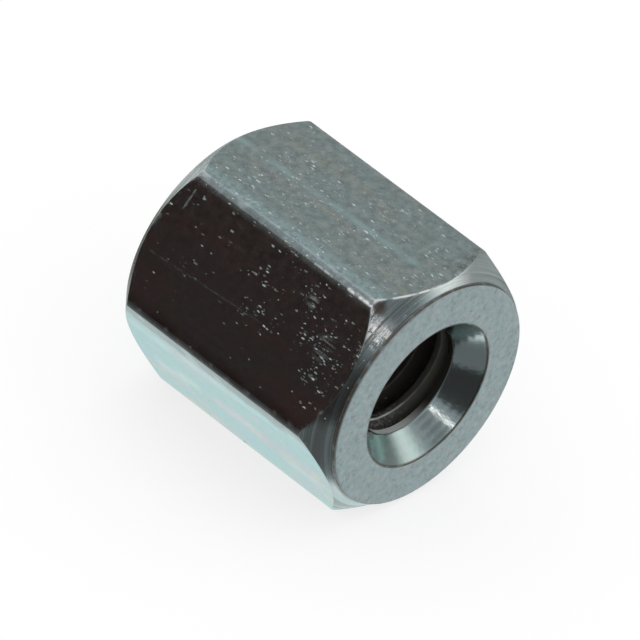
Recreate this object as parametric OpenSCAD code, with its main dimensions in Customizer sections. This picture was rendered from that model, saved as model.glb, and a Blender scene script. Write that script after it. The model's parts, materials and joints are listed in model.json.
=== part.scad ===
// Hex standoff: a short hexagonal pillar with a threaded hole right through it.
// The part lies on one of its flats. The thread axis runs along X, and Z is up.
// The origin is on the resting flat, under the middle of the pillar. Lengths are in millimetres.

/* [Hexagonal bar] */
// Distance across two opposite flats
across_flats = 7; // [6:0.1:12]
// Overall length, from one end face to the other
pillar_length = 7.9; // [4:0.1:60]
// Rounding along the six long edges of the drawn bar
edge_radius = 0.3; // [0.1:0.05:0.8]

/* [Turned ends] */
// How far the edge of each end's flat ring lies inside the flats
face_ring_inset = 0.15; // [0.05:0.05:0.4]
// Height of the small step between the front end's flat ring and its chamfer
front_step = 0.12; // [0.04:0.01:0.3]
// Angle of the chamfer, measured from the end face
chamfer_angle = 45; // [20:1:60]

/* [Threaded hole] */
// Nominal diameter of the metric thread
thread_diameter = 4; // [2.5:0.5:5]
// Pitch of the thread
thread_pitch = 0.7; // [0.35:0.05:0.8]
// How much wider the countersink's mouth is than the thread
countersink_margin = 0.36; // [0.1:0.02:0.6]
// Included angle of the countersink
countersink_angle = 75; // [60:1:120]

/* [Hidden] */
$fn = 96;

flats = 6;
half_length = pillar_length / 2;
// How far each cutting shape runs past the surface that it cuts
overrun = 0.5;

// Each edge's rounding is centred on a corner of a smaller hexagon, one radius inside the flats
corner_distance = across_flats / 2 / cos(180 / flats);
core_corner_distance = corner_distance - edge_radius / cos(180 / flats);
core_side = 2 * core_corner_distance * sin(180 / flats);
// The rounding stands this far proud of the flats, which cut it off at a slight angle
edge_proud = 0.004;
edge_arc_radius = edge_radius + edge_proud;

// Each chamfer starts at the edge of its flat ring and runs out past the bar's corners
face_ring_radius = across_flats / 2 - face_ring_inset;
chamfer_outer_radius = corner_distance + overrun;
chamfer_depth = (chamfer_outer_radius - face_ring_radius) * tan(chamfer_angle);

// A metric thread's crests stand 5/8 of its sharp profile's height inside the nominal diameter
thread_depth = 5 / 8 * thread_pitch * cos(30);
thread_minor_diameter = thread_diameter - 2 * thread_depth;

// The countersink narrows from its mouth at the end face down to the thread's crests
countersink_diameter = thread_diameter + countersink_margin;
countersink_slope = tan(countersink_angle / 2);
countersink_depth = (countersink_diameter - thread_minor_diameter) / 2 / countersink_slope;

// A sharp hexagon, kept only where a flat's middle or an edge's rounding covers it
module rounded_hexagon() {
    intersection() {
        circle(r = corner_distance, $fn = flats);
        for (side = [0 : flats - 1]) {
            rotate(side * 360 / flats) translate([core_corner_distance, 0]) circle(r = edge_arc_radius);
            rotate((side + 0.5) * 360 / flats)
                translate([0, -core_side / 2]) square([across_flats / 2 + overrun, core_side]);
        }
    }
}

// What the lathe takes off round one end: a step beside the flat ring, where there is one, then the chamfer
module end_turning(step) {
    rotate_extrude()
        polygon([
            [face_ring_radius, half_length - step],
            [chamfer_outer_radius, half_length - step - chamfer_depth],
            [chamfer_outer_radius, half_length + overrun],
            [face_ring_radius, half_length + overrun]
        ]);
}

// What the countersink takes out of one end, starting outside the end face
module countersink() {
    translate([0, 0, half_length - countersink_depth])
        cylinder(
            h = countersink_depth + overrun,
            d1 = thread_minor_diameter,
            d2 = countersink_diameter + 2 * overrun * countersink_slope
        );
}

module end_cuts(step) {
    end_turning(step);
    countersink();
}

// The pillar upright about its own centre, with two of its flats facing along X
module upright_pillar() {
    difference() {
        linear_extrude(pillar_length, center = true) rotate(180 / flats) rounded_hexagon();
        cylinder(h = pillar_length + 2 * overrun, d = thread_minor_diameter, center = true);
        end_cuts(front_step);
        mirror([0, 0, 1]) end_cuts(0);
    }
}

module standoff_body() {
    color([0.62, 0.67, 0.68])
        translate([0, 0, across_flats / 2]) rotate([0, 90, 0]) upright_pillar();
}

standoff_body();
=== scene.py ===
"""A zinc-plated hex standoff on its side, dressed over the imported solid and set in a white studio."""

import json
import math

import bpy
import numpy as np
from mathutils import Matrix, Vector


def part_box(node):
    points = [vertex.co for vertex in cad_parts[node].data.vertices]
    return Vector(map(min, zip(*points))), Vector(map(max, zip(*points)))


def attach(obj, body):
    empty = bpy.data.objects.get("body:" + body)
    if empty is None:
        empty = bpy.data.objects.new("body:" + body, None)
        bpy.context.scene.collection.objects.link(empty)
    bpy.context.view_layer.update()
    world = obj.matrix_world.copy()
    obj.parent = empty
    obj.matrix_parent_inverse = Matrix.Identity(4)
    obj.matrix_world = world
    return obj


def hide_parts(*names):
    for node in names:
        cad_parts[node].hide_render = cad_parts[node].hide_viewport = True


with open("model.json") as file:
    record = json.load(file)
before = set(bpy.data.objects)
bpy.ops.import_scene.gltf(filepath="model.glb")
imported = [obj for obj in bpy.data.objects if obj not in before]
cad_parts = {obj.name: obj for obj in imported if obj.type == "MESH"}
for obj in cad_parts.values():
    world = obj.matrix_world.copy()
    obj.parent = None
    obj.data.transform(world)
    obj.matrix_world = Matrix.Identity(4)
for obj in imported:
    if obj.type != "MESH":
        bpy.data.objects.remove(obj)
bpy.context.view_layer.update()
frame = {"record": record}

# Sizes of the standoff, in metres. The bar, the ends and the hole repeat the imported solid's sizes.
MM = 0.001
NODE = "standoff_body"

body_low, body_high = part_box(NODE)
front_thread = next(mount for mount in frame["record"]["mounts"] if mount["name"] == "thread_front")

SIDES = 6
# Half the angle that each side of the bar takes up round the axis
HALF_SIDE = math.pi / SIDES
HALF_LENGTH = (body_high.x - body_low.x) / 2
APOTHEM = (body_high.z - body_low.z) / 2
AXIS_HEIGHT = (body_high.z + body_low.z) / 2
BAR_EDGE_RADIUS = 0.3 * MM

RING_RADIUS = APOTHEM - 0.15 * MM
FRONT_STEP = 0.12 * MM
REAR_STEP = 0.0
CHAMFER_ANGLE = math.radians(45)

CREST_RADIUS = front_thread["dims"]["r_mm"] * MM
MOUTH_RADIUS = 2.18 * MM
COUNTERSINK_DEPTH = HALF_LENGTH - front_thread["dims"]["length_mm"] * MM / 2
THREAD_PITCH = 0.7 * MM
# A metric thread is 5/8 as deep as its profile would be with sharp crests and roots
THREAD_DEPTH = 5 / 8 * THREAD_PITCH * math.cos(math.radians(30))
# Each flank stands at 60 degrees to the axis. The widths are shares of the pitch.
FLANK_SLOPE = math.tan(math.radians(60))
GROOVE_HALF_WIDTH = 3 / 8
CREST_HALF_WIDTH = 1 / 8
# The share of a turn by which the thread is turned round its axis
THREAD_START = 0.214
# A plain lip at each end of the hole, and the length over which the groove then deepens
THREAD_LIP = 0.2 * MM
THREAD_LEAD_IN = 0.15 * MM
THREAD_HALF_LENGTH = HALF_LENGTH - COUNTERSINK_DEPTH - THREAD_LIP

# Small roundings that tumbling and plating leave on the turned edges
MOUTH_ROUND = 0.04 * MM
RING_ROUND = 0.05 * MM
STEP_FOOT_ROUND = 0.02 * MM
CHAMFER_ROUND = 0.04 * MM

# Fineness of the mesh
EDGE_STEPS = 8
FLAT_STEPS = 18
ROUND_STEPS = 4
BORE_STEPS = 240
# Where rings of points lie across the flat ring and the chamfer and along the flats, as shares of the way
RING_PARTS = (0.045, 0.3, 0.6, 0.9)
CHAMFER_PARTS = (0.04, 0.15, 0.5, 0.8)
FLAT_PARTS = (0.015, 0.04, 0.12, 0.24, 0.36, 0.48, 0.6, 0.72, 0.84, 0.94, 0.97, 0.985)
# Edges that are sharper than this stay crisp
CRISP_ANGLE = math.radians(32)

# How much soil the corners hold, with painted shade added at the ring's outer edge and the step's foot, and
# how much the edges are worn, from 0 to 1. The ring's outer edge has one value for each point of its
# rounding.
MOUTH_SOIL = 0.9
RING_EDGE_SOIL_AND_SHADES = (0, 0, 0.25, 0.8, 1)
STEP_FOOT_SOIL_AND_SHADE = 0.7
REAR_EDGE_WEAR = 0.6
CHAMFER_EDGE_WEAR = 0.95

# Finishes of the bands between the rings, in the order of the material slots
DRAWN, CHAMFERED, FACED = range(3)


def rounded_hexagon():
    """Angles round the axis, the bar's radius at each, and how near each is to a long edge's middle."""
    core_corner = (APOTHEM - BAR_EDGE_RADIUS) / math.cos(HALF_SIDE)
    edge_turns = np.linspace(-HALF_SIDE, HALF_SIDE, EDGE_STEPS + 1)
    edge_across = BAR_EDGE_RADIUS * np.sin(edge_turns)
    edge_out = core_corner + BAR_EDGE_RADIUS * np.cos(edge_turns)
    edge_angles = np.arctan2(edge_across, edge_out)
    edge_radii = np.hypot(edge_across, edge_out)
    flat_angles = np.linspace(edge_angles[-1], 2 * HALF_SIDE - edge_angles[-1], FLAT_STEPS + 1)[1:-1]
    flat_radii = APOTHEM / np.cos(flat_angles - HALF_SIDE)
    side_angles = np.concatenate([edge_angles, flat_angles])
    side_radii = np.concatenate([edge_radii, flat_radii])
    edge_nearness = np.cos(edge_turns / HALF_SIDE * math.pi / 2)
    side_edges = np.concatenate([edge_nearness, np.zeros(len(flat_angles))])
    angles = np.concatenate([side_angles + 2 * HALF_SIDE * side for side in range(SIDES)])
    return angles, np.tile(side_radii, SIDES), np.tile(side_edges, SIDES)


def rounded_corner(before, corner, after, radius):
    """Points of a small arc that takes the place of a corner in a profile."""
    back = (before - corner) / np.linalg.norm(before - corner)
    ahead = (after - corner) / np.linalg.norm(after - corner)
    half_angle = math.acos(np.clip(back @ ahead, -1, 1)) / 2
    setback = radius / math.tan(half_angle)
    centre = (back + ahead) / np.linalg.norm(back + ahead) * radius / math.sin(half_angle)
    start = back * setback - centre
    end = ahead * setback - centre
    sweep = math.pi - 2 * half_angle
    points = []
    for part in np.linspace(0, 1, ROUND_STEPS + 1):
        turned = (math.sin((1 - part) * sweep) * start + math.sin(part * sweep) * end) / math.sin(sweep)
        points.append(corner + centre + turned)
    return points


class Ring:
    """One loop of points round the axis, and the finish of the band that follows it."""

    def __init__(self, along, radius, finish, wear=0.0, soil=0.0):
        self.along = along
        self.radius = radius
        self.finish = finish
        self.wear = wear
        self.soil = soil


def turned_end(bar_radius, bar_edges, step):
    """Rings of one end, from the countersink's mouth to the flats, at their depths below the end face."""
    everywhere = np.ones_like(bar_radius)
    countersink_foot = np.array([COUNTERSINK_DEPTH, CREST_RADIUS])
    mouth = np.array([0.0, MOUTH_RADIUS])
    ring_edge = np.array([0.0, RING_RADIUS])
    step_foot = np.array([step, RING_RADIUS])
    chamfer_way = np.array([math.sin(CHAMFER_ANGLE), math.cos(CHAMFER_ANGLE)]) * MM
    rings = []

    def lathe(point, finish, wear=0.0, soil=0.0):
        rings.append(Ring(point[0] * everywhere, point[1] * everywhere, finish, wear, soil))

    for point in rounded_corner(countersink_foot, mouth, ring_edge, MOUTH_ROUND):
        lathe(point, FACED, soil=MOUTH_SOIL)
    for part in RING_PARTS:
        lathe(mouth + part * (ring_edge - mouth), FACED)
    # The ring's outer edge and the step's foot are darkened with soil and painted shade
    if step > 0:
        ring_edge_arc = rounded_corner(mouth, ring_edge, step_foot, RING_ROUND)
        for point, soil in zip(ring_edge_arc, RING_EDGE_SOIL_AND_SHADES):
            lathe(point, FACED, soil=soil)
        for point in rounded_corner(ring_edge, step_foot, step_foot + chamfer_way, STEP_FOOT_ROUND):
            lathe(point, CHAMFERED, soil=STEP_FOOT_SOIL_AND_SHADE)
    else:
        for point in rounded_corner(mouth, ring_edge, ring_edge + chamfer_way, RING_ROUND):
            lathe(point, CHAMFERED, wear=REAR_EDGE_WEAR)

    corner_depth = step + (bar_radius - RING_RADIUS) * math.tan(CHAMFER_ANGLE)
    inner_depth = rings[-1].along[0]
    inner_radius = rings[-1].radius[0]
    for part in CHAMFER_PARTS:
        depth = inner_depth + part * (corner_depth - inner_depth)
        radius = inner_radius + part * (bar_radius - inner_radius)
        rings.append(Ring(depth, radius, CHAMFERED))
    origin = np.zeros(2)
    flat_way = np.array([MM, 0.0])
    wear = np.maximum(CHAMFER_EDGE_WEAR, bar_edges)
    for offset in rounded_corner(-chamfer_way, origin, flat_way, CHAMFER_ROUND):
        rings.append(Ring(corner_depth + offset[0], bar_radius + offset[1], DRAWN, wear))
    return rings


def pillar_rings():
    """The angles round the axis, and one closed loop of rings: those outside, then those of the bore."""
    angles, bar_radius, bar_edges = rounded_hexagon()
    front = turned_end(bar_radius, bar_edges, FRONT_STEP)
    rear = turned_end(bar_radius, bar_edges, REAR_STEP)
    for ring in front:
        ring.along = HALF_LENGTH - ring.along
    for ring in rear:
        ring.along = ring.along - HALF_LENGTH

    flats = []
    for part in FLAT_PARTS:
        along = front[-1].along + part * (rear[-1].along - front[-1].along)
        flats.append(Ring(along, bar_radius, DRAWN, bar_edges))

    # Turned round, each rear ring starts the band that used to end at it
    rear.reverse()
    band_finishes = [ring.finish for ring in rear[1:]] + [FACED]
    for ring, finish in zip(rear, band_finishes):
        ring.finish = finish

    bore = []
    cone_slope = (MOUTH_RADIUS - CREST_RADIUS) / COUNTERSINK_DEPTH
    rim = front[0].along[0]
    for along in np.linspace(-rim, rim, BORE_STEPS + 1)[1:-1]:
        cone_radius = MOUTH_RADIUS - (HALF_LENGTH - abs(along)) * cone_slope
        radius = max(CREST_RADIUS, cone_radius)
        bore.append(Ring(np.full_like(angles, along), np.full_like(angles, radius), FACED))
    return angles, front + flats + rear, bore


def plain_pillar(materials):
    """The standoff with a plain hole, as one closed mesh with its finishes, wear and soil marked, the soil
    with painted shade at the step.
    """
    angles, outside, bore = pillar_rings()
    rings = outside + bore
    around = len(angles)
    points = np.zeros((len(rings), around, 3))
    for row, ring in zip(points, rings):
        row[:, 0] = ring.along
        row[:, 1] = ring.radius * np.cos(angles)
        row[:, 2] = ring.radius * np.sin(angles) + AXIS_HEIGHT

    first = np.arange(len(rings))[:, None] * around
    following = np.roll(np.arange(len(rings)), -1)[:, None] * around
    here = np.arange(around)[None, :]
    beside = np.roll(np.arange(around), -1)[None, :]
    quads = np.stack([first + here, following + here, following + beside, first + beside], axis=-1)

    mesh = bpy.data.meshes.new("dressed_standoff")
    mesh.from_pydata(points.reshape(-1, 3).tolist(), [], quads.reshape(-1, 4).tolist())
    for material in materials:
        mesh.materials.append(material)
    mesh.polygons.foreach_set("material_index", np.repeat([ring.finish for ring in rings], around))

    wear = np.concatenate([np.broadcast_to(ring.wear, around) for ring in rings])
    soil = np.concatenate([np.broadcast_to(ring.soil, around) for ring in rings])
    mesh.attributes.new("edge_wear_and_glint", "FLOAT", "POINT").data.foreach_set("value", wear)
    mesh.attributes.new("corner_soil_and_shade", "FLOAT", "POINT").data.foreach_set("value", soil)
    # The bore's first band starts at the last ring outside
    in_bore = np.repeat(np.arange(len(rings)) >= len(outside) - 1, around)
    mesh.attributes.new("bore_wall", "BOOLEAN", "FACE").data.foreach_set("value", in_bore)
    mesh.validate()

    pillar = bpy.data.objects.new("dressed_standoff", mesh)
    bpy.context.collection.objects.link(pillar)
    return pillar


# Short ways to write node trees


def add_node(tree, kind, inputs=None, **settings):
    """Adds a node. Inputs maps a socket's name or number to a value or to the output that feeds it."""
    made = tree.nodes.new(kind)
    for name, value in settings.items():
        setattr(made, name, value)
    for key, value in (inputs or {}).items():
        if isinstance(value, bpy.types.NodeSocket):
            tree.links.new(value, made.inputs[key])
        else:
            made.inputs[key].default_value = value
    return made


def calc(tree, operation, *values):
    """The result of one sum on numbers."""
    return add_node(tree, "ShaderNodeMath", dict(enumerate(values)), operation=operation).outputs[0]


def vector_calc(tree, operation, *values):
    """The vector that one sum on vectors gives."""
    made = add_node(tree, "ShaderNodeVectorMath", dict(enumerate(values)), operation=operation)
    return made.outputs["Vector"]


def measured(tree, operation, *values):
    """The number that one sum on vectors gives."""
    made = add_node(tree, "ShaderNodeVectorMath", dict(enumerate(values)), operation=operation)
    return made.outputs["Value"]


def scaled(tree, vector, factor):
    """A vector made longer or shorter."""
    inputs = {0: vector, "Scale": factor}
    return add_node(tree, "ShaderNodeVectorMath", inputs, operation="SCALE").outputs["Vector"]


def clamped(tree, value):
    """A number kept between 0 and 1."""
    return add_node(tree, "ShaderNodeClamp", {"Value": value}).outputs["Result"]


def parts_of(tree, vector):
    """A vector's three numbers."""
    return add_node(tree, "ShaderNodeSeparateXYZ", {"Vector": vector}).outputs


def joined(tree, x, y, z):
    """A vector from three numbers."""
    return add_node(tree, "ShaderNodeCombineXYZ", {"X": x, "Y": y, "Z": z}).outputs["Vector"]


def ranged(tree, value, low, high, out_low=0.0, out_high=1.0):
    """A value's place between low and high, eased at both ends and spread between the two outputs."""
    inputs = {"Value": value, "From Min": low, "From Max": high, "To Min": out_low, "To Max": out_high}
    return add_node(tree, "ShaderNodeMapRange", inputs, interpolation_type="SMOOTHSTEP").outputs["Result"]


def blended(tree, share, first, second):
    """A colour between two others. The mix node's colour sockets are known by their numbers."""
    inputs = {0: share, 6: first, 7: second}
    return add_node(tree, "ShaderNodeMix", inputs, data_type="RGBA").outputs[2]


def noise(tree, vector, scale, detail=2.0, roughness=0.5):
    """Soft noise about 0.5, with features of about 1 / scale."""
    inputs = {"Vector": vector, "Scale": scale, "Detail": detail, "Roughness": roughness}
    return add_node(tree, "ShaderNodeTexNoise", inputs).outputs["Fac"]


# The types of the groups' sockets
FLOAT = "NodeSocketFloat"
VECTOR = "NodeSocketVector"
COLOUR = "NodeSocketColor"
GEOMETRY = "NodeSocketGeometry"
MATERIAL = "NodeSocketMaterial"


def open_group(name, inputs, outputs, kind="ShaderNodeTree"):
    """A new node group, what it is given and its results. Inputs and outputs map names to types."""
    tree = bpy.data.node_groups.new(name, kind)
    for socket_name, socket_type in inputs.items():
        tree.interface.new_socket(socket_name, in_out="INPUT", socket_type=socket_type)
    for socket_name, socket_type in outputs.items():
        tree.interface.new_socket(socket_name, in_out="OUTPUT", socket_type=socket_type)
    given = tree.nodes.new("NodeGroupInput").outputs
    result = tree.nodes.new("NodeGroupOutput").inputs
    return tree, given, result


def use_group(tree, group, **inputs):
    """Places a shader group in a material. An underscore in an input's name stands for a space."""
    named = {name.replace("_", " "): value for name, value in inputs.items()}
    return add_node(tree, "ShaderNodeGroup", named, node_tree=group).outputs


# The thread


def thread_cutter():
    """Nodes that cut a right-hand 60 degree thread into the walls of a plain bore along X."""
    inputs = {
        "Pillar": GEOMETRY,
        "Axis Height": FLOAT,
        "Crest Radius": FLOAT,
        "Groove Depth": FLOAT,
        "Pitch": FLOAT,
        "Start Turn": FLOAT,
        "Half Length": FLOAT,
        "Lead In": FLOAT,
        "Finish": MATERIAL,
    }
    tree, given, result = open_group("cut_thread", inputs, {"Pillar": GEOMETRY}, kind="GeometryNodeTree")
    marked = {"Name": "bore_wall"}
    wall = add_node(tree, "GeometryNodeInputNamedAttribute", marked, data_type="BOOLEAN").outputs[0]
    place = parts_of(tree, tree.nodes.new("GeometryNodeInputPosition").outputs[0])
    height = calc(tree, "SUBTRACT", place["Z"], given["Axis Height"])
    squares = calc(tree, "ADD", calc(tree, "POWER", place["Y"], 2.0), calc(tree, "POWER", height, 2.0))
    radius = calc(tree, "SQRT", squares)
    turn = calc(tree, "DIVIDE", calc(tree, "ARCTAN2", height, place["Y"]), 2 * math.pi)

    # The groove's middle is half a pitch from the crest's middle
    advance = calc(tree, "SUBTRACT", calc(tree, "DIVIDE", place["X"], given["Pitch"]), turn)
    phase = calc(tree, "FRACT", calc(tree, "ADD", advance, given["Start Turn"]))
    from_groove = calc(tree, "ABSOLUTE", calc(tree, "SUBTRACT", phase, 0.5))
    flank = calc(tree, "MULTIPLY", calc(tree, "SUBTRACT", GROOVE_HALF_WIDTH, from_groove), given["Pitch"])
    depth = calc(tree, "MULTIPLY", flank, FLANK_SLOPE)
    depth = calc(tree, "MINIMUM", calc(tree, "MAXIMUM", depth, 0.0), given["Groove Depth"])

    # The groove deepens over a short lead-in from a plain lip at each end of the hole
    from_lip = calc(tree, "SUBTRACT", given["Half Length"], calc(tree, "ABSOLUTE", place["X"]))
    lead = clamped(tree, calc(tree, "DIVIDE", from_lip, given["Lead In"]))
    depth = calc(tree, "MULTIPLY", depth, lead)
    cut_radius = calc(tree, "MAXIMUM", radius, calc(tree, "ADD", given["Crest Radius"], depth))
    spread = calc(tree, "DIVIDE", cut_radius, radius)
    cut_height = calc(tree, "MULTIPLY_ADD", height, spread, given["Axis Height"])
    cut_place = joined(tree, place["X"], calc(tree, "MULTIPLY", place["Y"], spread), cut_height)

    inputs = {"Geometry": given["Pillar"], "Selection": wall, "Position": cut_place}
    cut = add_node(tree, "GeometryNodeSetPosition", inputs)
    whole = add_node(tree, "GeometryNodeRealizeInstances", {"Geometry": cut.outputs[0]})
    inputs = {"Geometry": whole.outputs[0], "Selection": wall, "Material": given["Finish"]}
    finished = add_node(tree, "GeometryNodeSetMaterial", inputs)
    tree.links.new(finished.outputs[0], result["Pillar"])
    return tree


def cut_thread(pillar, bore_material):
    """Cuts the thread and leaves the standoff as a plain mesh with crisp edges."""
    cutter = thread_cutter()
    modifier = pillar.modifiers.new("cut_thread", "NODES")
    modifier.node_group = cutter
    values = {
        "Axis Height": AXIS_HEIGHT,
        "Crest Radius": CREST_RADIUS,
        "Groove Depth": THREAD_DEPTH,
        "Pitch": THREAD_PITCH,
        "Start Turn": THREAD_START,
        "Half Length": THREAD_HALF_LENGTH,
        "Lead In": THREAD_LEAD_IN,
        "Finish": bore_material,
    }
    for socket in cutter.interface.items_tree:
        if socket.name in values:
            modifier[socket.identifier] = values[socket.name]
    state = bpy.context.evaluated_depsgraph_get()
    evaluated = pillar.evaluated_get(state)
    threaded = bpy.data.meshes.new_from_object(evaluated, preserve_all_data_layers=True, depsgraph=state)
    pillar.modifiers.remove(modifier)
    plain = pillar.data
    pillar.data = threaded
    bpy.data.meshes.remove(plain)
    threaded.name = "dressed_standoff"
    threaded.shade_smooth()
    threaded.set_sharp_from_angle(angle=CRISP_ANGLE)


# Effects that the finishes share

# The share of a spot's radius within which it has its full strength
SPOT_CORE = 0.2
# How far flecks sway from a regular shape, in millimetres, and how often on each millimetre
FLECK_SWAY = (0.12, 0.07, 0.07)
SWAYS_PER_MM = 9.0
# What places are multiplied by before they are split into cells, so that flecks are longer along the bar
FLECK_STRETCH = (0.36, 1.0, 1.0)
# The width of a fleck's soft rim, in cells
FLECK_RIM = 0.18
# The least size and brightness of a fleck, as shares of the most
LEAST_SIZE = 0.4
LEAST_BRIGHTNESS = 0.2
# What is left of a scratch or streak at its breaks
LEFT_AT_BREAKS = 0.25
# The film's tints as it thickens, each at its place in the noise that the film follows
FILM_TINTS = [
    (0.36, (0.50, 0.66, 0.78, 1)),
    (0.43, (0.44, 0.70, 0.72, 1)),
    (0.50, (0.47, 0.71, 0.67, 1)),
    (0.58, (0.64, 0.62, 0.70, 1)),
    (0.65, (0.70, 0.73, 0.54, 1)),
]


def axis_places_group():
    """A point's place in millimetres from the axis's middle, its radius and its way out from the axis."""
    outputs = {"Millimetres": VECTOR, "Radius": FLOAT, "Outward": VECTOR}
    tree, given, result = open_group("axis_places", {"Place": VECTOR}, outputs)
    centred = vector_calc(tree, "SUBTRACT", given["Place"], (0, 0, AXIS_HEIGHT))
    millimetres = scaled(tree, centred, 1 / MM)
    out_only = vector_calc(tree, "MULTIPLY", millimetres, (0, 1, 1))
    tree.links.new(millimetres, result["Millimetres"])
    tree.links.new(measured(tree, "LENGTH", out_only), result["Radius"])
    tree.links.new(vector_calc(tree, "NORMALIZE", out_only), result["Outward"])
    return tree


def spot_group():
    """How near a point is to a middle: 1 close to it, and 0 from the radius on."""
    inputs = {"Millimetres": VECTOR, "Middle": VECTOR, "Radius": FLOAT}
    tree, given, result = open_group("spot", inputs, {"Mask": FLOAT})
    away = measured(tree, "DISTANCE", given["Millimetres"], given["Middle"])
    near = ranged(tree, calc(tree, "DIVIDE", away, given["Radius"]), 1.0, SPOT_CORE)
    tree.links.new(near, result["Mask"])
    return tree


def turning_marks_group():
    """Grooves that a lathe tool leaves round the axis: its feed's even spiral, and uneven marks over it."""
    inputs = {
        "Radius": FLOAT,
        "Outward": VECTOR,
        "Marks per mm": FLOAT,
        "Breaks": FLOAT,
        "Feeds per mm": FLOAT,
        "Feed Share": FLOAT,
    }
    tree, given, result = open_group("turning_marks", inputs, {"Height": FLOAT})
    outward = parts_of(tree, given["Outward"])
    across = calc(tree, "MULTIPLY", given["Radius"], given["Marks per mm"])
    broken_y = calc(tree, "MULTIPLY", outward["Y"], given["Breaks"])
    broken_z = calc(tree, "MULTIPLY", outward["Z"], given["Breaks"])
    place = joined(tree, across, broken_y, broken_z)
    uneven = noise(tree, place, scale=1.0, detail=3.0, roughness=0.6)
    turn = calc(tree, "ARCTAN2", outward["Z"], outward["Y"])
    feeds = calc(tree, "MULTIPLY", given["Radius"], given["Feeds per mm"])
    wave = calc(tree, "SINE", calc(tree, "ADD", calc(tree, "MULTIPLY", feeds, 2 * math.pi), turn))
    spiral = calc(tree, "MULTIPLY_ADD", wave, 0.5, 0.5)
    height = add_node(tree, "ShaderNodeMix", {0: given["Feed Share"], 2: uneven, 3: spiral}).outputs[0]
    tree.links.new(height, result["Height"])
    return tree


def drawn_lines_group():
    """Long faint lines that drawing the bar leaves along X."""
    inputs = {"Millimetres": VECTOR, "Lines per mm": FLOAT, "Breaks per mm": FLOAT}
    tree, given, result = open_group("drawn_lines", inputs, {"Height": FLOAT})
    place = parts_of(tree, given["Millimetres"])
    along = calc(tree, "MULTIPLY", place["X"], given["Breaks per mm"])
    across = calc(tree, "MULTIPLY", place["Y"], given["Lines per mm"])
    up = calc(tree, "MULTIPLY", place["Z"], given["Lines per mm"])
    lines = noise(tree, joined(tree, along, across, up), scale=1.0, detail=1.0, roughness=0.4)
    tree.links.new(lines, result["Height"])
    return tree


def struck_flecks_group():
    """Small bright dents, longer along the bar, where parts have struck each other."""
    inputs = {"Millimetres": VECTOR, "Flecks per mm": FLOAT, "Share": FLOAT, "Size": FLOAT}
    tree, given, result = open_group("struck_flecks", inputs, {"Mask": FLOAT})
    settings = {"Vector": given["Millimetres"], "Scale": SWAYS_PER_MM, "Detail": 2.0}
    sway = add_node(tree, "ShaderNodeTexNoise", settings).outputs["Color"]
    swayed = vector_calc(tree, "MULTIPLY_ADD", sway, FLECK_SWAY, given["Millimetres"])
    stretched = vector_calc(tree, "MULTIPLY", swayed, FLECK_STRETCH)
    cells = add_node(tree, "ShaderNodeTexVoronoi", {"Vector": stretched, "Scale": given["Flecks per mm"]})
    chance = add_node(tree, "ShaderNodeSeparateColor", {"Color": cells.outputs["Color"]}).outputs
    chosen = calc(tree, "LESS_THAN", chance[0], given["Share"])
    size_share = calc(tree, "MULTIPLY_ADD", chance[1], 1 - LEAST_SIZE, LEAST_SIZE)
    size = calc(tree, "MULTIPLY", given["Size"], size_share)
    inside = calc(tree, "SUBTRACT", size, cells.outputs["Distance"])
    dent = calc(tree, "MULTIPLY", ranged(tree, inside, 0.0, FLECK_RIM), chosen)
    seldom_bright = calc(tree, "POWER", chance[2], 2.0)
    brightness = calc(tree, "MULTIPLY_ADD", seldom_bright, 1 - LEAST_BRIGHTNESS, LEAST_BRIGHTNESS)
    tree.links.new(calc(tree, "MULTIPLY", dent, brightness), result["Mask"])
    return tree


def scratch_group():
    """A straight scratch or streak between two points, broken along its length."""
    inputs = {
        "Millimetres": VECTOR,
        "Start": VECTOR,
        "Run": VECTOR,
        "Width": FLOAT,
        "Breaks per mm": FLOAT,
    }
    tree, given, result = open_group("scratch", inputs, {"Mask": FLOAT})
    from_start = vector_calc(tree, "SUBTRACT", given["Millimetres"], given["Start"])
    ahead = measured(tree, "DOT_PRODUCT", from_start, given["Run"])
    run_squared = measured(tree, "DOT_PRODUCT", given["Run"], given["Run"])
    part = clamped(tree, calc(tree, "DIVIDE", ahead, run_squared))
    aside = vector_calc(tree, "SUBTRACT", from_start, scaled(tree, given["Run"], part))
    line = ranged(tree, measured(tree, "LENGTH", aside), given["Width"], 0.0)
    uneven = noise(tree, given["Millimetres"], given["Breaks per mm"])
    breaks = ranged(tree, uneven, 0.35, 0.6, out_low=LEFT_AT_BREAKS)
    tree.links.new(calc(tree, "MULTIPLY", line, breaks), result["Mask"])
    return tree


def passivation_group():
    """Tints of the thin clear film over the zinc, from blue through green to rose and straw."""
    inputs = {"Film": FLOAT, "Body": COLOUR, "Strength": FLOAT}
    tree, given, result = open_group("passivation", inputs, {"Color": COLOUR})
    ramp = add_node(tree, "ShaderNodeValToRGB", {"Fac": given["Film"]})
    points = ramp.color_ramp.elements
    while len(points) < len(FILM_TINTS):
        points.new(1.0)
    for point, (position, tint) in zip(points, FILM_TINTS):
        point.position = position
        point.color = tint
    tinted = blended(tree, given["Strength"], given["Body"], ramp.outputs["Color"])
    tree.links.new(tinted, result["Color"])
    return tree


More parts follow.
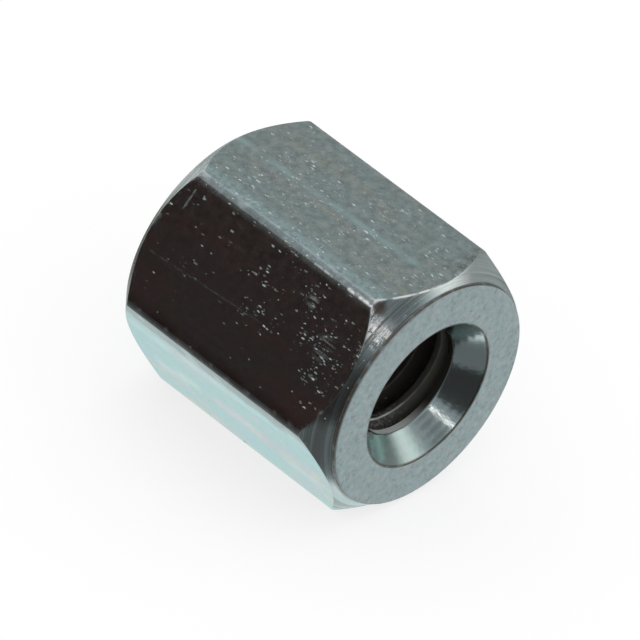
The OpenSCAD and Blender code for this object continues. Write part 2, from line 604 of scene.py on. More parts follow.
def edge_marks_group():
    """Bright rubbed edges, with a painted highlight at the given spots, and brown soil in corners, with
    painted shade at the step, both broken up as handling leaves them.
    """
    inputs = {"Millimetres": VECTOR, "Edge": FLOAT, "Corner": FLOAT, "Rubbed": FLOAT}
    tree, given, result = open_group("edge_marks", inputs, {"Wear": FLOAT, "Soil": FLOAT})
    patches = noise(tree, given["Millimetres"], scale=3.0)
    # At the given spots the rubbed brightness is a painted highlight as well as wear
    rubbed_and_glint = calc(tree, "MULTIPLY", given["Rubbed"], ranged(tree, given["Edge"], 0.6, 0.9))
    rubbed_and_glint = calc(tree, "MULTIPLY", rubbed_and_glint, ranged(tree, patches, 0.25, 0.5))
    light = calc(tree, "MULTIPLY", given["Edge"], ranged(tree, patches, 0.5, 0.8, out_high=0.3))
    wear = calc(tree, "MAXIMUM", light, rubbed_and_glint)
    # Soil in the corners, with painted shade at the ring's outer edge and the step's foot
    soil = calc(tree, "MULTIPLY", given["Corner"], ranged(tree, patches, 0.25, 0.5, out_low=0.5))
    tree.links.new(wear, result["Wear"])
    tree.links.new(soil, result["Soil"])
    return tree


AXIS_PLACES = axis_places_group()
SPOT = spot_group()
TURNING_MARKS = turning_marks_group()
DRAWN_LINES = drawn_lines_group()
STRUCK_FLECKS = struck_flecks_group()
SCRATCH = scratch_group()
PASSIVATION = passivation_group()
EDGE_MARKS = edge_marks_group()

# Each finish's plain colour under its tints, its least and most roughness, and the height of its relief
FLAT_BODY = (0.54, 0.63, 0.62, 1)
CHAMFER_BODY = (0.53, 0.62, 0.62, 1)
RING_BODY = (0.54, 0.65, 0.69, 1)
BORE_BODY = (0.52, 0.63, 0.61, 1)
FLAT_ROUGHNESS = (0.15, 0.2)
CHAMFER_ROUGHNESS = (0.19, 0.26)
RING_ROUGHNESS = (0.32, 0.44)
BORE_ROUGHNESS = (0.155, 0.2)
FLAT_RELIEF = 0.02 * MM
CHAMFER_RELIEF = 0.02 * MM
RING_RELIEF = 0.006 * MM
BORE_RELIEF = 0.006 * MM
# On the flats, heights of the drawn lines and the grain and the depth of dents, as shares of the relief
LINE_HEIGHT = 0.1
GRAIN_HEIGHT = 0.03
DENT_DEPTH = 0.3
# On the rings, the height of the grain beside that of the lathe marks
RING_GRAIN_HEIGHT = 0.5
# The share of the film's thickness that follows clouds on the flats, and that follows the grain elsewhere
CLOUD_SHARE = 0.35
GRAIN_SHARE = 0.75
# How metallic the dull plating of the ring and of the top flat is
RING_METAL = 0.78
TOP_METAL = 0.9
# How much rougher and less metallic the thread is than the countersink
THREAD_ROUGHER = 0.3
THREAD_LESS_METAL = 0.6
# How far down the hole the thread's painted shade deepens, and over how much its lip blends into it, in
# millimetres
THREAD_SHADE_DEEPENS = 0.9
LIP_BLEND = 0.06
# Between which depths the countersink's finish gives way to the hole's, in millimetres
HOLE_STARTS = (-0.02, 0.04)
# How far from a crest's front edge its wear and painted highlight end and are full, as shares of the pitch
CREST_GLINT_REACH = (0.045, 0.01)
# How much the crests are worn, and how much painted highlight they take where the lips have painted light
CREST_WEAR_AND_GLINT = 0.05
LIT_CREST_GLINT = 0.75
# The share of wear and painted highlight that shows as colour, and how much less metallic they and flecks
# make the plating
WEAR_COLOUR = 0.8
WEAR_DULLS = 0.75
# The share of cells that hold a fleck where nothing has struck the part, outside and in the hole
FEW_FLECKS = 0.02
FEWEST_FLECKS = 0.01
# The sparkles of the top flat: cells on each millimetre, size in cells and strength
SPARKLES_PER_MM = 13.0
SPARKLE_SIZE = 0.46
SPARKLE_STRENGTH = 0.65

# Colours of soil and painted shade, of the plating where it is worn and where it has painted highlights,
# tinted, dulled and darkened by painted shade, and of the thread with its painted light and shade
SOIL_AND_SHADE_BROWN = (0.16, 0.13, 0.10, 1)
WORN_AND_GLINT_ZINC = (0.92, 0.88, 0.88, 1)
PALE_ZINC = (0.78, 0.86, 0.85, 1)
BLUE_ZINC = (0.66, 0.88, 0.89, 1)
ROSE_ZINC = (0.80, 0.76, 0.82, 1)
STRAW_ZINC = (0.86, 0.88, 0.72, 1)
DULL_ZINC = (0.30, 0.36, 0.36, 1)
EDGE_SHADE_GREY = (0.36, 0.40, 0.40, 1)
SHADED_ZINC = (0.24, 0.35, 0.33, 1)
FLECK_GREY = (0.74, 0.79, 0.80, 1)
THREAD_LIT_PALE = (0.82, 0.87, 0.83, 1)
THREAD_SHADE_AND_DIRT = (0.10, 0.10, 0.085, 1)
THREAD_DEEP_SHADE_AND_DIRT = (0.035, 0.031, 0.025, 1)

# Spots where edges are rubbed brightest, worn and with a painted highlight. Each has a middle and a radius
# in millimetres, and a strength.
RUBBED_AND_GLINT_SPOTS = [
    ((3.3, -2.0, 3.4), 0.4, 0.6),
    ((-3.4, -1.9, 3.45), 0.6, 0.5),
    ((3.55, -0.9, 3.5), 1.4, 0.9),
]
# Spots where the lower lips of the hole have painted light, which also lightens the dust and the crests'
# edges there
LIT_LIP_SPOTS = [
    ((3.1, -0.4, -1.6), 1.6, 1.0),
    ((-3.1, -0.4, -1.6), 1.6, 1.0),
]
# Sizes of the flecks: cells that may hold one on each millimetre, size in cells and strength
FLECK_SIZES = [
    (8.0, 0.26, 1.0),
    (11.0, 0.39, 0.95),
    (16.0, 0.42, 0.8),
]
# Spots where the part has been struck most, with a share of struck cells as the strength
STRUCK_PATCHES = [
    ((2.5, -2.92, 1.95), 1.3, 0.85),
    ((2.9, -3.35, 1.2), 1.0, 0.75),
    ((3.3, -2.8, 2.1), 0.9, 0.30),
    ((0.4, -2.97, 1.86), 1.0, 0.75),
    ((1.5, -2.5, 2.65), 0.7, 0.70),
    ((-0.1, -2.74, 2.25), 0.7, 0.50),
    ((-2.2, -2.8, 2.1), 1.6, 0.10),
    ((-3.2, -1.7, 3.5), 1.2, 0.8),
    ((-1.5, 0.2, 3.5), 1.7, 0.6),
    ((0.9, 0.3, 3.5), 1.4, 0.7),
    ((0.4, -1.8, 3.5), 1.1, 0.7),
    ((-1.3, -1.3, 3.5), 1.3, 0.5),
    ((2.6, -0.4, 3.5), 1.6, 0.4),
    ((-2.0, -1.9, 3.5), 0.9, 0.5),
    ((1.7, -1.8, 3.5), 0.9, 0.5),
]
# Spots where blows have left a soft smear of small dents
SMEARS = [
    ((2.6, -2.91, 1.95), 0.45, 0.35),
    ((1.6, -2.5, 2.65), 0.24, 0.35),
]
# Spots where the front chamfer has a painted highlight over rubbed strokes, where it has painted light and
# where it is soiled, and where the front countersink has painted shade
CHAMFER_RUBS_AND_GLINTS = [
    ((3.66, -2.16, 2.78), 0.6, 1.0),
]
CHAMFER_LIGHTS = [
    ((3.64, 0.3, 3.54), 1.0, 0.9),
    ((3.60, 1.2, 3.40), 0.9, 0.7),
    ((3.45, 2.0, 3.05), 0.8, 0.4),
]
CHAMFER_SOILS = [
    ((3.32, -1.92, 3.34), 0.30, 0.9),
]
COUNTERSINK_SHADES = [
    ((3.45, -1.15, -1.4), 1.1, 0.75),
]
# Scratches on the flats, each a start and a run in millimetres, a half width and a strength
SCRATCH_BREAKS_PER_MM = 6.0
SCRATCHES = [
    ((-3.21, -2.55, 2.58), (0.06, 0.28, 0.49), 0.05, 0.25),
    ((-3.44, -3.28, 1.32), (4.0, 0.13, 0.22), 0.05, 0.05),
]
# Where long edges are rubbed bright along one side of their rounding, worn and with a painted highlight, in
# the same way as the scratches
RUBBED_AND_GLINT_LINES = [
    ((2.35, -2.087, 3.381), (0.9, 0.0, 0.0), 0.085, 1.2),
    ((1.1, -2.087, 3.381), (0.6, 0.0, 0.0), 0.06, 0.6),
]
# Streaks along the flats: a start and a run, a half width, breaks per millimetre, a strength and a colour
STREAKS = [
    ((-3.8, -0.17, 3.5), (6.4, 0.2, 0.0), 0.20, 1.6, 0.9, BLUE_ZINC),
    ((-3.6, -1.80, 3.5), (7.1, 0.02, 0.0), 0.36, 6.0, 1.0, BLUE_ZINC),
    # The grey streak along the side long edge, on the lower flat, is painted shade
    ((-3.5, -3.92, -0.2), (7.0, 0.0, 0.0), 0.62, 1.1, 2.4, EDGE_SHADE_GREY),
    ((-3.4, -3.45, -1.04), (6.6, -0.30, 0.52), 0.40, 1.6, 0.45, BLUE_ZINC),
    ((-2.8, -2.72, -2.28), (0.7, 0.0, 0.0), 0.50, 1.6, 0.6, ROSE_ZINC),
    ((-2.0, -2.85, -2.05), (0.5, 0.0, 0.0), 0.40, 1.6, 0.4, STRAW_ZINC),
    ((-0.5, -2.90, -1.97), (1.2, 0.0, 0.0), 0.45, 1.6, 0.45, ROSE_ZINC),
    ((2.0, -2.69, -2.33), (0.9, 0.0, 0.0), 0.50, 1.6, 0.5, ROSE_ZINC),
]
# Spots where burrs beside the front chamfer hold soil
BURRS = [
    ((3.4, 0.75, 3.5), 0.42, 0.3),
    ((3.48, 1.05, 3.5), 0.30, 0.5),
    ((3.34, 1.45, 3.5), 0.32, 0.6),
    ((3.20, 1.85, 3.5), 0.24, 0.4),
]


class ZincFinish:
    """One finish of the plating as its nodes are laid, with the places and marks that all finishes read."""

    def __init__(self, name):
        self.material = bpy.data.materials.new(name)
        self.material.use_nodes = True
        self.tree = self.material.node_tree
        self.surface = self.tree.nodes["Principled BSDF"]
        object_place = self.tree.nodes.new("ShaderNodeTexCoord").outputs["Object"]
        places = self.group(AXIS_PLACES, Place=object_place)
        self.millimetres = places["Millimetres"]
        self.radius = places["Radius"]
        self.outward = places["Outward"]
        edge = add_node(self.tree, "ShaderNodeAttribute", attribute_name="edge_wear_and_glint").outputs["Fac"]
        corner = add_node(self.tree, "ShaderNodeAttribute", attribute_name="corner_soil_and_shade").outputs["Fac"]
        # Wear with painted highlights at the rubbed spots, and soil with painted shade at the ring's edge
        # and the step's foot
        rubbed_and_glint = self.near(RUBBED_AND_GLINT_SPOTS)
        marks = self.here(EDGE_MARKS, Edge=edge, Corner=corner, Rubbed=rubbed_and_glint)
        self.wear = marks["Wear"]
        self.soil = marks["Soil"]
        self.grain = self.noise(scale=9.0, detail=3.0, roughness=0.6)

    def group(self, group, **inputs):
        """Places a shared effect in this finish."""
        return use_group(self.tree, group, **inputs)

    def here(self, group, **inputs):
        """Places a shared effect that follows the place on the part."""
        return self.group(group, Millimetres=self.millimetres, **inputs)

    def noise(self, **settings):
        """Soft noise over the part, with a scale in features on each millimetre."""
        return noise(self.tree, self.millimetres, **settings)

    def grainy(self, low, high):
        """A roughness that follows the grain."""
        return ranged(self.tree, self.grain, 0.25, 0.75, low, high)

    def near(self, spots):
        """The strengths of the spots near each point, added up."""
        total = 0.0
        for middle, radius, strength in spots:
            mask = self.here(SPOT, Middle=middle, Radius=radius)["Mask"]
            total = calc(self.tree, "MULTIPLY_ADD", mask, strength, total)
        return total

    def lines(self, scratches):
        """The strongest of the scratches at each point."""
        strongest = 0.0
        for start, run, width, strength in scratches:
            line = {"Start": start, "Run": run, "Width": width, "Breaks_per_mm": SCRATCH_BREAKS_PER_MM}
            mask = self.here(SCRATCH, **line)["Mask"]
            strongest = calc(self.tree, "MAXIMUM", calc(self.tree, "MULTIPLY", mask, strength), strongest)
        return strongest

    def flecks(self, plain_share):
        """Flecks of three sizes, in clusters where the part has been struck and few elsewhere."""
        clusters = ranged(self.tree, self.noise(scale=2.6), 0.36, 0.58)
        share = calc(self.tree, "MULTIPLY_ADD", self.near(STRUCK_PATCHES), clusters, plain_share)
        mask = 0.0
        for flecks_per_mm, size, strength in FLECK_SIZES:
            flecks = self.here(STRUCK_FLECKS, Flecks_per_mm=flecks_per_mm, Size=size, Share=share)["Mask"]
            mask = calc(self.tree, "MAXIMUM", calc(self.tree, "MULTIPLY", flecks, strength), mask)
        return mask

    def lay(self, colour, roughness, height, relief, fleck, metal=1.0):
        """Lays wear with its painted highlights, soil with its painted shade, and flecks over a colour and
        sets the surface's metal, roughness and relief.
        """
        tree = self.tree
        colour = blended(tree, calc(tree, "MULTIPLY", self.wear, WEAR_COLOUR), colour, WORN_AND_GLINT_ZINC)
        colour = blended(tree, self.soil, colour, SOIL_AND_SHADE_BROWN)
        colour = blended(tree, fleck, colour, FLECK_GREY)
        tree.links.new(colour, self.surface.inputs["Base Color"])
        shine = calc(tree, "MULTIPLY_ADD", calc(tree, "MAXIMUM", self.wear, fleck), -WEAR_DULLS, 1.0)
        tree.links.new(calc(tree, "MULTIPLY", shine, metal), self.surface.inputs["Metallic"])
        tree.links.new(roughness, self.surface.inputs["Roughness"])
        inputs = {"Strength": 1.0, "Distance": relief, "Height": height}
        normal = add_node(tree, "ShaderNodeBump", inputs).outputs["Normal"]
        tree.links.new(normal, self.surface.inputs["Normal"])
        return self.material


def drawn_zinc():
    """The six flats: drawn along their length, plated, then struck and scratched by handling."""
    zinc = ZincFinish("drawn_zinc")
    tree = zinc.tree
    broad = zinc.here(DRAWN_LINES, Lines_per_mm=1.5, Breaks_per_mm=0.3)["Height"]
    fine = zinc.here(DRAWN_LINES, Lines_per_mm=7.0, Breaks_per_mm=0.4)["Height"]
    cloud = zinc.noise(scale=2.0, detail=3.0, roughness=0.6)
    lined = calc(tree, "MULTIPLY", broad, 1 - CLOUD_SHARE)
    film = calc(tree, "MULTIPLY_ADD", cloud, CLOUD_SHARE, lined)
    height_up = parts_of(tree, zinc.millimetres)["Z"]
    tint = ranged(tree, height_up, 2.5, -1.0, out_low=0.22, out_high=0.7)
    colour = zinc.group(PASSIVATION, Film=film, Body=FLAT_BODY, Strength=tint)["Color"]

    # The upper flats, which have lain open, are mottled and speckled most
    exposed = ranged(tree, height_up, 0.8, 3.3, out_low=0.12)
    mottle = zinc.noise(scale=4.0, detail=3.0, roughness=0.6)
    speckle = zinc.noise(scale=19.0, detail=1.0)
    pale_mottle = ranged(tree, mottle, 0.5, 0.72, out_high=0.5)
    pale_speckle = ranged(tree, speckle, 0.6, 0.78, out_high=0.6)
    pale = calc(tree, "ADD", pale_mottle, pale_speckle)
    dull = ranged(tree, mottle, 0.56, 0.28, out_high=0.55)
    colour = blended(tree, calc(tree, "MULTIPLY", dull, exposed), colour, DULL_ZINC)
    colour = blended(tree, calc(tree, "MULTIPLY", pale, exposed), colour, PALE_ZINC)
    for start, run, width, breaks, strength, streak_colour in STREAKS:
        streak = zinc.here(SCRATCH, Start=start, Run=run, Width=width, Breaks_per_mm=breaks)["Mask"]
        colour = blended(tree, calc(tree, "MULTIPLY", streak, strength), colour, streak_colour)
    burr = calc(tree, "MULTIPLY", zinc.near(BURRS), ranged(tree, speckle, 0.4, 0.6))
    colour = blended(tree, burr, colour, SOIL_AND_SHADE_BROWN)

    # Flecks, sparkles on the top flat, smears and scratches, of which the brightest shows
    top_flat = ranged(tree, height_up, 3.2, 3.4)
    crowded = ranged(tree, zinc.noise(scale=1.3), 0.44, 0.60, out_low=0.02, out_high=0.42)
    share = calc(tree, "MULTIPLY", crowded, top_flat)
    cells = {"Flecks_per_mm": SPARKLES_PER_MM, "Size": SPARKLE_SIZE, "Share": share}
    sparkle = calc(tree, "MULTIPLY", zinc.here(STRUCK_FLECKS, **cells)["Mask"], SPARKLE_STRENGTH)
    fleck = calc(tree, "MAXIMUM", zinc.flecks(FEW_FLECKS), sparkle)
    smear = calc(tree, "MULTIPLY", zinc.near(SMEARS), ranged(tree, fine, 0.47, 0.62))
    fleck = calc(tree, "MAXIMUM", fleck, smear)
    fleck = calc(tree, "MAXIMUM", fleck, zinc.lines(SCRATCHES))
    # The rubbed lines on the upper long edge are painted highlights as well as wear
    zinc.wear = calc(tree, "MAXIMUM", zinc.wear, zinc.lines(RUBBED_AND_GLINT_LINES))
    grain = calc(tree, "MULTIPLY", zinc.grain, GRAIN_HEIGHT)
    height = calc(tree, "MULTIPLY_ADD", fine, LINE_HEIGHT, grain)
    height = calc(tree, "MULTIPLY_ADD", fleck, -DENT_DEPTH, height)
    metal = calc(tree, "MULTIPLY_ADD", top_flat, TOP_METAL - 1, 1.0)
    return zinc.lay(colour, zinc.grainy(*FLAT_ROUGHNESS), height, FLAT_RELIEF, fleck, metal)


def turned_zinc(zinc, body, tint, tool):
    """The colour of a turned surface and the height of its lathe marks."""
    tree = zinc.tree
    grooves = zinc.group(TURNING_MARKS, Radius=zinc.radius, Outward=zinc.outward, **tool)["Height"]
    grooved = calc(tree, "MULTIPLY", grooves, 1 - GRAIN_SHARE)
    film = calc(tree, "MULTIPLY_ADD", zinc.grain, GRAIN_SHARE, grooved)
    colour = zinc.group(PASSIVATION, Film=film, Body=body, Strength=tint)["Color"]
    return colour, grooves


def chamfered_zinc():
    """The cone turned round each end, with plain lathe marks that hold a little soil."""
    zinc = ZincFinish("chamfered_zinc")
    tree = zinc.tree
    tool = {"Marks_per_mm": 10.0, "Breaks": 0.35, "Feeds_per_mm": 7.0, "Feed_Share": 0.0}
    colour, grooves = turned_zinc(zinc, CHAMFER_BODY, tint=0.3, tool=tool)
    held = ranged(tree, grooves, 0.54, 0.40, out_high=0.5)
    colour = blended(tree, held, colour, SOIL_AND_SHADE_BROWN)
    # Painted light on the upper part of the front chamfer
    colour = blended(tree, zinc.near(CHAMFER_LIGHTS), colour, PALE_ZINC)
    colour = blended(tree, zinc.near(CHAMFER_SOILS), colour, SOIL_AND_SHADE_BROWN)
    # A painted highlight, broken into rubbed strokes along the lathe marks, at one spot of the front
    # chamfer
    blotches = ranged(tree, zinc.noise(scale=6.0, detail=3.0, roughness=0.6), 0.42, 0.58)
    strokes = calc(tree, "MULTIPLY", ranged(tree, grooves, 0.44, 0.54), blotches)
    rubbed_and_glint = calc(tree, "MULTIPLY", zinc.near(CHAMFER_RUBS_AND_GLINTS), strokes)
    zinc.wear = calc(tree, "MAXIMUM", zinc.wear, rubbed_and_glint)
    roughness = zinc.grainy(*CHAMFER_ROUGHNESS)
    return zinc.lay(colour, roughness, grooves, CHAMFER_RELIEF, zinc.flecks(FEW_FLECKS))


def faced_zinc():
    """The flat ring on each end, faced smooth, a little dull and faintly mottled."""
    zinc = ZincFinish("faced_zinc")
    tree = zinc.tree
    tool = {"Marks_per_mm": 9.0, "Breaks": 1.0, "Feeds_per_mm": 8.0, "Feed_Share": 0.1}
    colour, grooves = turned_zinc(zinc, RING_BODY, tint=0.35, tool=tool)
    mottle = zinc.noise(scale=6.0, detail=4.0, roughness=0.75)
    colour = blended(tree, ranged(tree, mottle, 0.5, 0.7, out_high=0.5), colour, PALE_ZINC)
    colour = blended(tree, ranged(tree, mottle, 0.5, 0.3, out_high=0.6), colour, DULL_ZINC)
    roughness = zinc.grainy(*RING_ROUGHNESS)
    height = calc(tree, "MULTIPLY_ADD", zinc.grain, RING_GRAIN_HEIGHT, grooves)
    return zinc.lay(colour, roughness, height, RING_RELIEF, zinc.flecks(FEW_FLECKS), RING_METAL)


def bored_zinc():
    """The countersinks, bright from the tool, with painted shade on one side of the front one, and the
    thread, with painted shade and dirt that deepen down the hole and painted light on its lower lips.
    """
    zinc = ZincFinish("bored_zinc")
    tree = zinc.tree
    tool = {"Marks_per_mm": 6.0, "Breaks": 11.0, "Feeds_per_mm": 7.0, "Feed_Share": 0.22}
    colour, grooves = turned_zinc(zinc, BORE_BODY, tint=0.25, tool=tool)
    # Painted shade, darker and greener, on the lower side of the front countersink
    colour = blended(tree, zinc.near(COUNTERSINK_SHADES), colour, SHADED_ZINC)
    along = parts_of(tree, zinc.millimetres)["X"]
    hole_edge = (HALF_LENGTH - COUNTERSINK_DEPTH) / MM
    down_hole = calc(tree, "SUBTRACT", hole_edge, calc(tree, "ABSOLUTE", along))
    inside = ranged(tree, down_hole, *HOLE_STARTS)
    lip = (THREAD_LIP + THREAD_LEAD_IN / 2) / MM
    past_lip = ranged(tree, down_hole, lip - LIP_BLEND, lip + LIP_BLEND)
    deep = ranged(tree, down_hole, lip, lip + THREAD_SHADE_DEEPENS)

    # The front edge of each crest is painted pale: faintly worn everywhere, and a painted highlight where
    # the lips have painted light
    outward = parts_of(tree, zinc.outward)
    turn = calc(tree, "DIVIDE", calc(tree, "ARCTAN2", outward["Z"], outward["Y"]), 2 * math.pi)
    advance = calc(tree, "DIVIDE", along, THREAD_PITCH / MM)
    phase = calc(tree, "ADD", calc(tree, "SUBTRACT", advance, turn), THREAD_START)
    from_crest = calc(tree, "SUBTRACT", calc(tree, "FRACT", calc(tree, "ADD", phase, 0.5)), 0.5)
    from_front = calc(tree, "ABSOLUTE", calc(tree, "SUBTRACT", from_crest, CREST_HALF_WIDTH))
    front_edge = ranged(tree, from_front, *CREST_GLINT_REACH)
    rubbed_and_glint = zinc.near(LIT_LIP_SPOTS)
    edge_wear_and_glint = calc(tree, "MULTIPLY_ADD", rubbed_and_glint, LIT_CREST_GLINT, CREST_WEAR_AND_GLINT)
    crest_wear_and_glint = calc(tree, "MULTIPLY", front_edge, edge_wear_and_glint)

    # The lip has painted light at the lit spots and painted shade elsewhere; further in, painted shade and
    # dirt deepen down the thread
    lip_colour = blended(tree, rubbed_and_glint, THREAD_DEEP_SHADE_AND_DIRT, THREAD_LIT_PALE)
    thread_colour = blended(tree, deep, THREAD_SHADE_AND_DIRT, THREAD_DEEP_SHADE_AND_DIRT)
    # Dust in the thread, lightened with painted light at the lit spots of the lips
    dust_and_light = ranged(tree, zinc.noise(scale=11.0, detail=3.0, roughness=0.7), 0.45, 0.7, out_high=0.3)
    thread_colour = blended(tree, calc(tree, "MULTIPLY", dust_and_light, rubbed_and_glint), thread_colour, THREAD_LIT_PALE)
    thread_colour = blended(tree, crest_wear_and_glint, thread_colour, THREAD_LIT_PALE)
    hole_colour = blended(tree, past_lip, lip_colour, thread_colour)
    colour = blended(tree, inside, colour, hole_colour)
    roughness = calc(tree, "MULTIPLY_ADD", inside, THREAD_ROUGHER, zinc.grainy(*BORE_ROUGHNESS))
    metal = calc(tree, "MULTIPLY_ADD", inside, -THREAD_LESS_METAL, 1.0)
    return zinc.lay(colour, roughness, grooves, BORE_RELIEF, zinc.flecks(FEWEST_FLECKS), metal)


# The studio: a white floor under white light, and cards round the object that only its reflections show

# Each card lies a little nearer than the one before it, and covers it where they overlap
CARD_DISTANCE = 0.5
CARD_GAP = 0.02
CARD_CORNERS = 48
LAMP_DISTANCE = 0.25
LAMP_COLOUR = (1.0, 0.86, 0.84)
FLOOR_SIZE = 6.0
# What the floor scatters of the light, and its glow for the camera, which makes it white outside the shadow
FLOOR_PAPER = (0.25, 0.25, 0.25, 1)
FLOOR_GLOW = 0.76
# Each card's name, direction from the object, half angle in degrees, colours at its middle and its rim, and
# the share of its radius that has the middle's colour
CARDS = [
    ("rear_card", (0.10, 0.99, 0.10), 72, (0.29, 0.29, 0.29, 1), (0.50, 0.50, 0.50, 1), 0.5),
    ("front_end_card", (0.72, -0.65, -0.20), 68, (0.045, 0.040, 0.040, 1), (0.42, 0.42, 0.44, 1), 0.35),
    ("low_front_card", (0.50, -0.40, -0.77), 24, (0.18, 0.178, 0.185, 1), (0.22, 0.22, 0.225, 1), 0.5),
    ("dark_card", (-0.50, -0.83, 0.08), 62, (0.033, 0.018, 0.016, 1), (0.62, 0.68, 0.66, 1), 0.28),
    ("low_card", (-0.50, 0.25, -0.84), 34, (0.74, 0.84, 0.84, 1), (0.78, 0.86, 0.85, 1), 0.5),
    ("back_card", (-0.55, 0.80, 0.55), 50, (0.255, 0.26, 0.258, 1), (0.305, 0.31, 0.308, 1), 0.5),
    ("rear_end_card", (-0.82, 0.26, -0.51), 18, (0.13, 0.125, 0.10, 1), (0.60, 0.60, 0.58, 1), 0.4),
    ("low_back_card", (0.45, 0.75, -0.50), 40, (0.51, 0.51, 0.50, 1), (0.29, 0.30, 0.30, 1), 0.5),
    ("top_card", (0.10, -0.15, 1.00), 56, (0.38, 0.38, 0.41, 1), (0.34, 0.34, 0.37, 1), 0.5),
    ("end_card", (1.00, 0.05, 0.40), 28, (0.16, 0.16, 0.17, 1), (0.22, 0.22, 0.22, 1), 0.5),
    ("bright_card", (0.50, 0.63, 0.58), 22, (0.98, 0.98, 0.96, 1), (0.46, 0.46, 0.46, 1), 0.15),
    ("upper_edge_card", (-0.50, -0.46, 0.73), 27, (0.24, 0.235, 0.245, 1), (0.28, 0.28, 0.29, 1), 0.7),
    ("lower_edge_card", (-0.50, -0.75, -0.43), 14, (0.075, 0.07, 0.07, 1), (0.10, 0.10, 0.10, 1), 0.3),
    ("lower_side_card", (-0.50, -0.41, -0.76), 14, (0.15, 0.15, 0.15, 1), (0.18, 0.18, 0.18, 1), 0.3),
    ("lower_rim_card", (-0.50, -0.09, -0.86), 8, (0.28, 0.29, 0.29, 1), (0.32, 0.33, 0.33, 1), 0.3),
]


def flat_stage_piece(name, corners, material):
    """A flat sheet of the studio, which isn't part of the object."""
    mesh = bpy.data.meshes.new(name)
    mesh.from_pydata(corners, [], [range(len(corners))])
    mesh.materials.append(material)
    sheet = bpy.data.objects.new(name, mesh)
    bpy.context.collection.objects.link(sheet)
    return sheet


def studio_card(name, direction, half_angle, middle_colour, rim_colour, even_share, distance):
    """A round card that faces the object and shows only in the metal's reflections."""
    facing = Vector(direction).normalized()
    middle = facing * distance
    radius = distance * math.tan(math.radians(half_angle))
    material = bpy.data.materials.new(name)
    material.use_nodes = True
    tree = material.node_tree
    tree.nodes.clear()
    place = tree.nodes.new("ShaderNodeTexCoord").outputs["Object"]
    away = measured(tree, "DISTANCE", place, middle)
    colour = blended(tree, ranged(tree, away, even_share * radius, radius), middle_colour, rim_colour)
    glow = add_node(tree, "ShaderNodeEmission", {"Color": colour, "Strength": 1.0})
    add_node(tree, "ShaderNodeOutputMaterial", {"Surface": glow.outputs[0]})
    turned = facing.to_track_quat("Z", "Y")
    turns = np.linspace(0, 2 * math.pi, CARD_CORNERS, endpoint=False)
    spokes = [turned @ Vector((math.cos(turn), math.sin(turn), 0)) for turn in turns]
    card = flat_stage_piece(name, [middle + spoke * radius for spoke in spokes], material)
    card.visible_camera = False
    card.visible_diffuse = False
    card.visible_shadow = False


def white_floor():
    """A plain white floor that keeps a faint shadow of the object and is clear from below."""
    material = bpy.data.materials.new("white_floor")
    material.use_nodes = True
    tree = material.node_tree
    tree.nodes.clear()
    paper = add_node(tree, "ShaderNodeBsdfDiffuse", {"Color": FLOOR_PAPER})
    seen = tree.nodes.new("ShaderNodeLightPath").outputs["Is Camera Ray"]
    glow = add_node(tree, "ShaderNodeEmission", {"Strength": calc(tree, "MULTIPLY", seen, FLOOR_GLOW)})
    lit = add_node(tree, "ShaderNodeAddShader", {0: paper.outputs[0], 1: glow.outputs[0]})
    clear = tree.nodes.new("ShaderNodeBsdfTransparent")
    below = tree.nodes.new("ShaderNodeNewGeometry").outputs["Backfacing"]
    inputs = {0: below, 1: lit.outputs[0], 2: clear.outputs[0]}
    mixed = add_node(tree, "ShaderNodeMixShader", inputs)
    add_node(tree, "ShaderNodeOutputMaterial", {"Surface": mixed.outputs[0]})
    reach = FLOOR_SIZE / 2
    corners = [(-reach, -reach, 0), (reach, -reach, 0), (reach, reach, 0), (-reach, reach, 0)]
    floor = flat_stage_piece("white_floor", corners, material)
    floor.visible_glossy = False


def white_world():
    """Even white light from all round."""
    world = bpy.data.worlds.new("white_world")
    world.use_nodes = True
    light = world.node_tree.nodes["Background"].inputs
    light["Color"].default_value = (1, 1, 1, 1)
    light["Strength"].default_value = 1.0
    bpy.context.scene.world = world


# Each lamp's name, direction from the object, size in metres and power in watts
LAMPS = [
    ("countersink_lamp", (0.715, -0.355, 0.605), 0.008, 0.004),
    ("chamfer_lamp", (0.87, -0.17, 0.47), 0.02, 0.006),
]


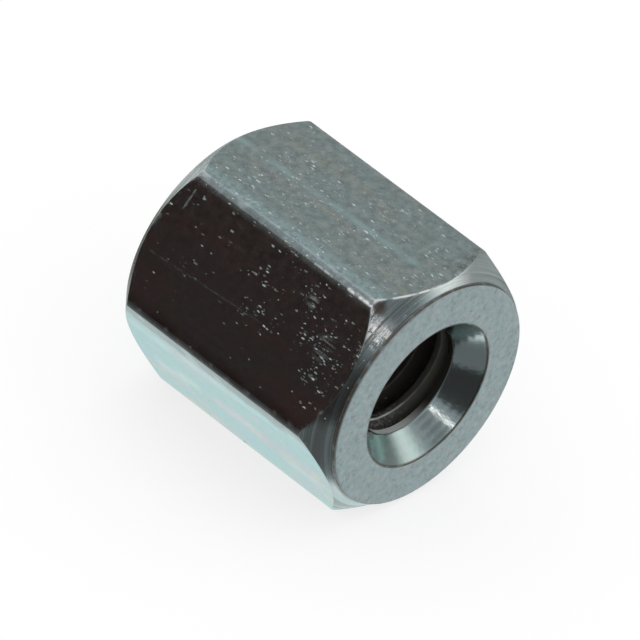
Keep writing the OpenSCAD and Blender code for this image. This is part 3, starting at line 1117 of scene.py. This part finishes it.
def glint_lamp(name, direction, size, power):
    """A small lamp high before the front end, for the glints on its turned surfaces."""
    lamp = bpy.data.lights.new(name, "AREA")
    lamp.shape = "DISK"
    lamp.size = size
    lamp.energy = power
    lamp.color = LAMP_COLOUR
    lamp_object = bpy.data.objects.new(name, lamp)
    lamp_object.location = Vector(direction).normalized() * LAMP_DISTANCE
    lamp_object.rotation_euler = lamp_object.location.to_track_quat("Z", "Y").to_euler()
    bpy.context.collection.objects.link(lamp_object)


# The camera, as fitted to the photograph's edges

VIEW_AZIMUTH = math.radians(38.908)
VIEW_ELEVATION = math.radians(37.290)
VIEW_ROLL = math.radians(11.059)
VIEW_DISTANCE = 0.28
VIEW_LENS = 602.8
VIEW_SENSOR = 36.0
VIEW_NEAR = 0.01
VIEW_FAR = 20.0
VIEW_RIGHT = 0.0789 * MM
VIEW_UP = 0.0998 * MM


def photo_camera():
    """A long lens at the photograph's viewing angle, with its roll and framing."""
    back = Vector((
        math.sin(VIEW_AZIMUTH) * math.cos(VIEW_ELEVATION),
        -math.cos(VIEW_AZIMUTH) * math.cos(VIEW_ELEVATION),
        math.sin(VIEW_ELEVATION),
    ))
    level_right = Vector((0, 0, 1)).cross(back).normalized()
    level_up = back.cross(level_right)
    right = math.cos(VIEW_ROLL) * level_right + math.sin(VIEW_ROLL) * level_up
    up = math.cos(VIEW_ROLL) * level_up - math.sin(VIEW_ROLL) * level_right
    centre = Vector((0, 0, AXIS_HEIGHT))
    camera_data = bpy.data.cameras.new("photo_camera")
    camera_data.lens = VIEW_LENS
    camera_data.sensor_width = VIEW_SENSOR
    camera_data.clip_start = VIEW_NEAR
    camera_data.clip_end = VIEW_FAR
    camera = bpy.data.objects.new("photo_camera", camera_data)
    turned = Matrix((right, up, back)).transposed().to_4x4()
    place = centre + back * VIEW_DISTANCE - right * VIEW_RIGHT - up * VIEW_UP
    camera.matrix_world = Matrix.Translation(place) @ turned
    bpy.context.collection.objects.link(camera)
    bpy.context.scene.camera = camera


photo_camera()
white_world()
white_floor()
for lamp in LAMPS:
    glint_lamp(*lamp)
for order, card in enumerate(CARDS):
    studio_card(*card, distance=CARD_DISTANCE - CARD_GAP * order)
bpy.context.scene.view_settings.view_transform = "Standard"

standoff = plain_pillar([drawn_zinc(), chamfered_zinc(), faced_zinc()])
cut_thread(standoff, bored_zinc())
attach(standoff, "root")
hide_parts(NODE)
